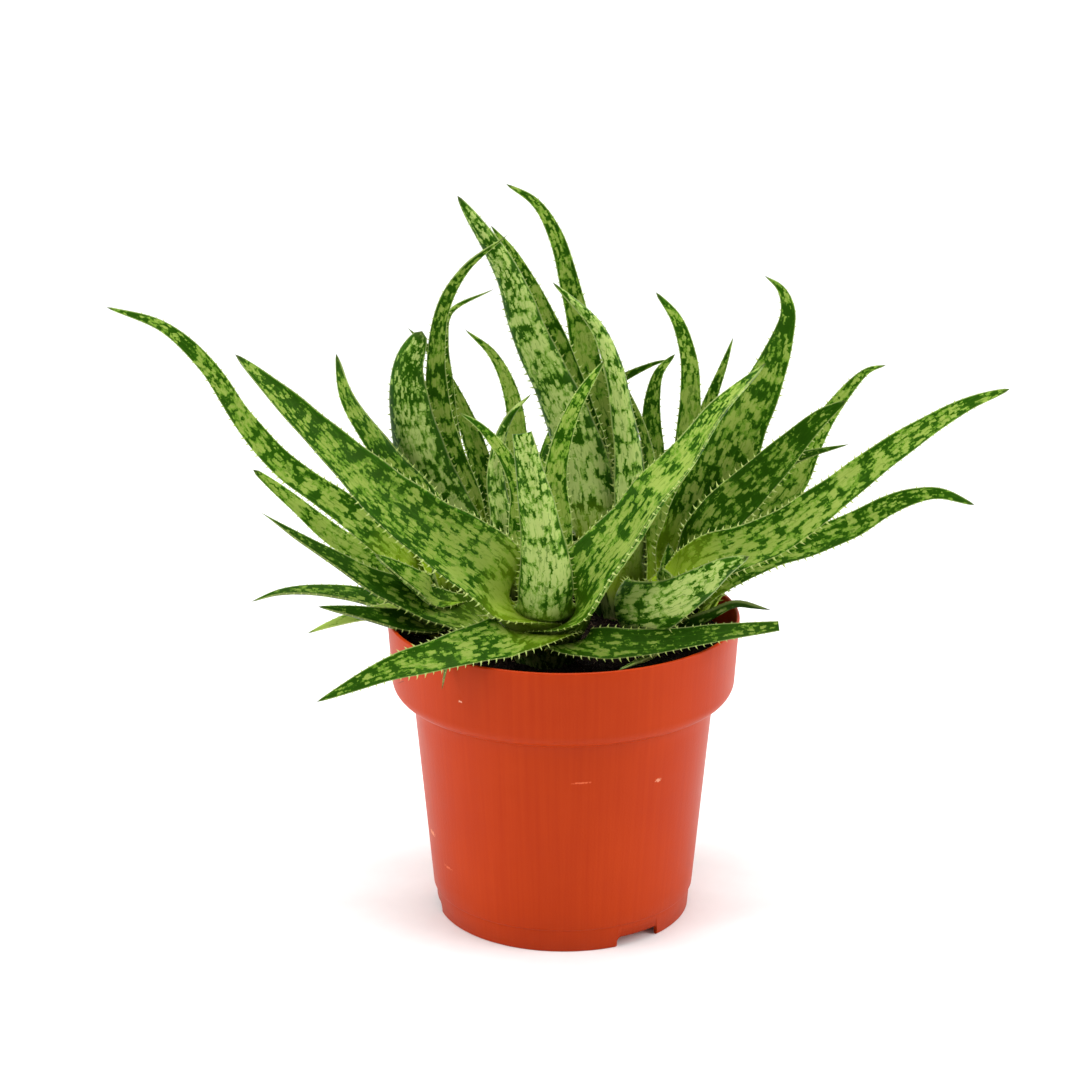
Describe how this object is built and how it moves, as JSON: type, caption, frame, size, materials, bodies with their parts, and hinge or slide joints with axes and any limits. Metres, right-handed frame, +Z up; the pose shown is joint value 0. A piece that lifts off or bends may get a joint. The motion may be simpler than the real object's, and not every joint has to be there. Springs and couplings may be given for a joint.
{
  "type": "potted aloe plant",
  "caption": "Clump of mottled, toothed aloe leaves on short stems, growing from dark potting soil in a round moulded nursery pot with a wide collar.",
  "frame": {"origin": "centre of the pot's underside, on the surface that the pot stands on", "axes": "+Z up along the pot's axis; the front of the plant faces -Y; +X to the right"},
  "size_m": [0.299, 0.1689, 0.245],
  "materials": {
    "pot": "satin moulded polypropylene, terracotta orange",
    "soil": null,
    "stem": null,
    "leaf": null
  },
  "bodies": {
    "root": {"pot": "pot", "soil": "soil", "stem_front": "stem", "stem_right": "stem", "stem_left": "stem", "stem_middle": "stem", "stem_back": "stem", "leaf_left_long": "leaf", "leaf_left_shaded": "leaf", "leaf_left_wide": "leaf", "leaf_left_flat": "leaf", "leaf_left_short": "leaf", "leaf_left_low": "leaf", "leaf_left_steep": "leaf", "leaf_left_bud": "leaf", "leaf_left_rear": "leaf", "leaf_back_broad": "leaf", "leaf_back_arched": "leaf", "leaf_back_hidden": "leaf", "leaf_back_thin": "leaf", "leaf_back_narrow": "leaf", "leaf_back_inner": "leaf", "leaf_back_rear": "leaf", "leaf_back_side": "leaf", "leaf_back_upright": "leaf", "leaf_middle_tall": "leaf", "leaf_middle_second": "leaf", "leaf_middle_high": "leaf", "leaf_middle_front": "leaf", "leaf_middle_arched": "leaf", "leaf_middle_right": "leaf", "leaf_middle_dark": "leaf", "leaf_middle_rear": "leaf", "leaf_middle_side": "leaf", "leaf_front_left": "leaf", "leaf_front_right": "leaf", "leaf_front_cut": "leaf", "leaf_front_inner": "leaf", "leaf_front_rear": "leaf", "leaf_front_trailing": "leaf", "leaf_front_broken": "leaf", "leaf_right_long": "leaf", "leaf_right_lower": "leaf", "leaf_right_dark": "leaf", "leaf_right_pale": "leaf", "leaf_right_hooked": "leaf", "leaf_right_bud": "leaf", "leaf_right_bulging": "leaf", "leaf_right_upper": "leaf", "leaf_right_spare": "leaf", "leaf_right_small": "leaf", "leaf_right_rear": "leaf"}
  },
  "joints": []
}
